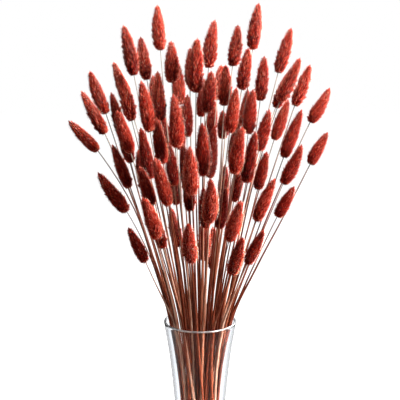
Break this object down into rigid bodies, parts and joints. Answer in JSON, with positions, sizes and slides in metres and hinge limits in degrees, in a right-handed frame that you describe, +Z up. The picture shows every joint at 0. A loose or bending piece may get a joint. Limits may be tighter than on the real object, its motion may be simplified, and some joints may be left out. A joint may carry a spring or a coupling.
{
  "type": "dried bunny tail grass bunch in a vase",
  "caption": "Bunch of dyed dried bunny tail grass, furry pointed heads on thin bare stems, fanned out of a flared clear glass vase.",
  "frame": {"origin": "middle of the vase's flat underside, on the surface it stands on", "axes": "+Z up along the axis of the vase; -Y is the front of the bunch, the side that the picture shows"},
  "size_m": [0.2585, 0.1757, 0.5185],
  "materials": {
    "clear_glass": "clear colourless glass, smooth and polished",
    "dried_grass": "dried grass dyed rust red, furry heads with paler salmon hair tips, bare matt stems"
  },
  "bodies": {
    "root": {"vase": "clear_glass", "stalk_01": "dried_grass", "stalk_02": "dried_grass", "stalk_03": "dried_grass", "stalk_04": "dried_grass", "stalk_05": "dried_grass", "stalk_06": "dried_grass", "stalk_07": "dried_grass", "stalk_08": "dried_grass", "stalk_09": "dried_grass", "stalk_10": "dried_grass", "stalk_11": "dried_grass", "stalk_12": "dried_grass", "stalk_13": "dried_grass", "stalk_14": "dried_grass", "stalk_15": "dried_grass", "stalk_16": "dried_grass", "stalk_17": "dried_grass", "stalk_18": "dried_grass", "stalk_19": "dried_grass", "stalk_20": "dried_grass", "stalk_21": "dried_grass", "stalk_22": "dried_grass", "stalk_23": "dried_grass", "stalk_24": "dried_grass", "stalk_25": "dried_grass", "stalk_26": "dried_grass", "stalk_27": "dried_grass", "stalk_28": "dried_grass", "stalk_29": "dried_grass", "stalk_30": "dried_grass", "stalk_31": "dried_grass", "stalk_32": "dried_grass", "stalk_33": "dried_grass", "stalk_34": "dried_grass", "stalk_35": "dried_grass", "stalk_36": "dried_grass", "stalk_37": "dried_grass", "stalk_pair_01": "dried_grass", "stalk_pair_02": "dried_grass", "stalk_pair_03": "dried_grass", "stalk_pair_04": "dried_grass", "stalk_pair_05": "dried_grass", "stalk_pair_06": "dried_grass", "stalk_pair_07": "dried_grass", "stalk_pair_08": "dried_grass", "stalk_pair_09": "dried_grass", "stalk_pair_10": "dried_grass", "stalk_pair_11": "dried_grass", "stalk_pair_12": "dried_grass", "stalk_pair_13": "dried_grass", "stalk_pair_14": "dried_grass", "stalk_pair_15": "dried_grass", "stalk_pair_16": "dried_grass", "stalk_pair_17": "dried_grass", "stalk_pair_18": "dried_grass", "stalk_pair_19": "dried_grass", "stalk_pair_20": "dried_grass", "stalk_pair_21": "dried_grass", "stalk_pair_22": "dried_grass"}
  },
  "joints": []
}
